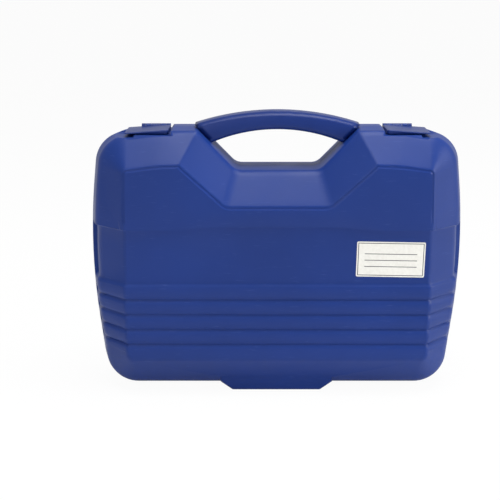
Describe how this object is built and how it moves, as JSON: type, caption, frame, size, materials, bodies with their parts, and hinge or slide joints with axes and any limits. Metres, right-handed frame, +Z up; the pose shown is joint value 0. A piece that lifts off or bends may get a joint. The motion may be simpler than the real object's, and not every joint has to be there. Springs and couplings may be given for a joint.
{
  "type": "tool case",
  "caption": "Blow moulded tool case with ribbed shells, a hinge under it, two flip latches and an arched carrying handle.",
  "frame": {"origin": "centre of the surface that the case stands on, midway between its lid and base", "axes": "+X along the case to its right as the lid is faced, +Y from the lid back to the base, +Z up through the handle"},
  "size_m": [0.38, 0.104, 0.2874],
  "materials": {
    "shell_plastic": "satin moulded polyethylene",
    "handle_plastic": "satin moulded polypropylene",
    "steel": "zinc plated",
    "foam": "open cell foam",
    "label_paper": "satin printed film"
  },
  "bodies": {
    "base": {"base_shell": "shell_plastic", "handle": "handle_plastic", "handle_screws": "steel", "hinge_pin": "steel", "hinge_plug_left": "handle_plastic", "hinge_plug_right": "handle_plastic", "latch_pin_left": "steel", "latch_pin_right": "steel", "base_foam": "foam", "base_pad": "foam"},
    "lid": {"lid_shell": "shell_plastic", "lid_foam": "foam", "label": "label_paper"},
    "left_latch": {"latch_left": "handle_plastic"},
    "right_latch": {"latch_right": "handle_plastic"}
  },
  "joints": [
    {"name": "lid_hinge", "type": "hinge", "parent": "base", "child": "lid", "pos_m": [0, 0, 0.0055], "axis": [1, 0, 0], "range_deg": [0, 110]},
    {"name": "left_latch_pivot", "type": "hinge", "parent": "base", "child": "left_latch", "pos_m": [-0.1232, 0.018, 0.2691], "axis": [-1, 0, 0], "range_deg": [0, 105]},
    {"name": "right_latch_pivot", "type": "hinge", "parent": "base", "child": "right_latch", "pos_m": [0.1232, 0.018, 0.2691], "axis": [-1, 0, 0], "range_deg": [0, 105]}
  ]
}
